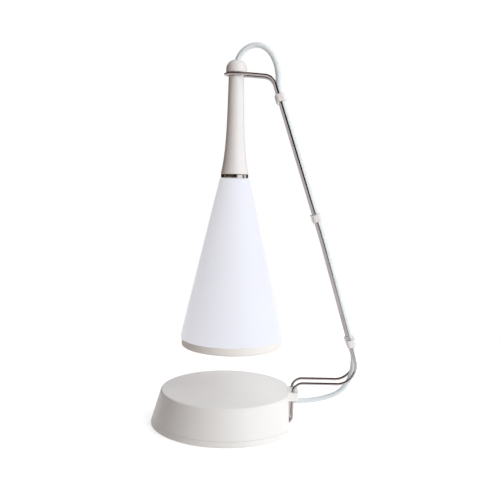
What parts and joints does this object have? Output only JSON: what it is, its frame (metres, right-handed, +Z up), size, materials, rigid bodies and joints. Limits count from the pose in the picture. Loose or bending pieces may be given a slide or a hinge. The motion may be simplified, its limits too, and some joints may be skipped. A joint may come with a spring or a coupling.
{
  "type": "bedside lamp",
  "caption": "Small bedside lamp: a conical diffuser hangs on a domed neck from the hook of a bent twin-wire arm over a low, tapered round base.",
  "frame": {"origin": "centre of the foot pad's lower face, on the table under the base's axis", "axes": "+Z up, +X from the base's axis to the arm's legs, -Y to the viewer of the picture"},
  "size_m": [0.1359, 0.0998, 0.2484],
  "materials": {
    "white_plastic": "glossy warm white moulding",
    "cream_plastic": "satin cream moulding",
    "milky_diffuser": "translucent milky white, satin",
    "pad_rubber": "matt grey foam rubber",
    "polished_wire": "polished steel wire",
    "chrome_trim": "bright plating",
    "inlet_metal": "plain tinned steel",
    "screw_steel": "zinc plated",
    "ballast_steel": "plain rolled steel",
    "cast_aluminium": "plain turned aluminium",
    "battery_foil": "matt foil pouch",
    "lead_sheath": "soft bluish white sheath",
    "red_insulation": "soft insulation",
    "black_plastic": "fine matt moulding",
    "nylon": "natural nylon",
    "green_laminate": "green circuit board",
    "white_laminate": "white circuit board",
    "led_phosphor": "yellow phosphor in a white frame"
  },
  "bodies": {
    "base": {"base_shell": "white_plastic", "bottom_plate": "white_plastic", "foot_pad": "pad_rubber", "base_screw_1": "screw_steel", "base_screw_2": "screw_steel", "base_screw_3": "screw_steel", "base_screw_4": "screw_steel", "ballast_plate": "ballast_steel", "ballast_screw_1": "screw_steel", "ballast_screw_2": "screw_steel", "battery_cell": "battery_foil", "main_board": "green_laminate", "board_screw_1": "screw_steel", "board_screw_2": "screw_steel", "board_screw_3": "screw_steel", "board_screw_4": "screw_steel", "driver_chip": "black_plastic", "lead_socket": "nylon", "battery_socket": "nylon", "battery_wire_a": "red_insulation", "battery_wire_b": "black_plastic", "power_inlet": "inlet_metal", "switch_body": "black_plastic", "arm_bracket": "white_plastic", "bracket_screw_1": "screw_steel", "bracket_screw_2": "screw_steel", "arm_wire": "polished_wire", "cable_clip_top": "white_plastic", "cable_clip_middle": "white_plastic", "cable_clip_bottom": "white_plastic", "lead_grommet": "nylon", "lead_run": "lead_sheath", "lead_arch": "lead_sheath"},
    "hang_cap": {"dome_cap": "white_plastic", "cap_stem": "screw_steel", "stem_nut": "screw_steel"},
    "head": {"neck_shell": "white_plastic", "chrome_ring": "chrome_trim", "diffuser_cone": "milky_diffuser", "lower_ring": "cream_plastic", "bottom_lens": "milky_diffuser", "led_carrier": "cast_aluminium", "led_board": "white_laminate", "led_1": "led_phosphor", "led_2": "led_phosphor", "led_3": "led_phosphor", "led_4": "led_phosphor", "led_screw_1": "screw_steel", "led_screw_2": "screw_steel", "lamp_wire_a": "red_insulation", "lamp_wire_b": "black_plastic"},
    "slider": {"switch_slider": "black_plastic"}
  },
  "joints": [
    {"name": "head_swing", "type": "hinge", "parent": "base", "child": "hang_cap", "pos_m": [0.003, 0, 0.2279], "axis": [0, 1, 0], "range_deg": [-5, 5], "deforming": ["lead_arch"]},
    {"name": "head_twist", "type": "hinge", "parent": "hang_cap", "child": "head", "pos_m": [0.003, 0, 0.2279], "axis": [0, 0, 1], "range_deg": [-45, 45]},
    {"name": "switch_slide", "type": "slide", "parent": "base", "child": "slider", "axis": [1, 0, 0], "range_m": [0, 0.0025]}
  ]
}
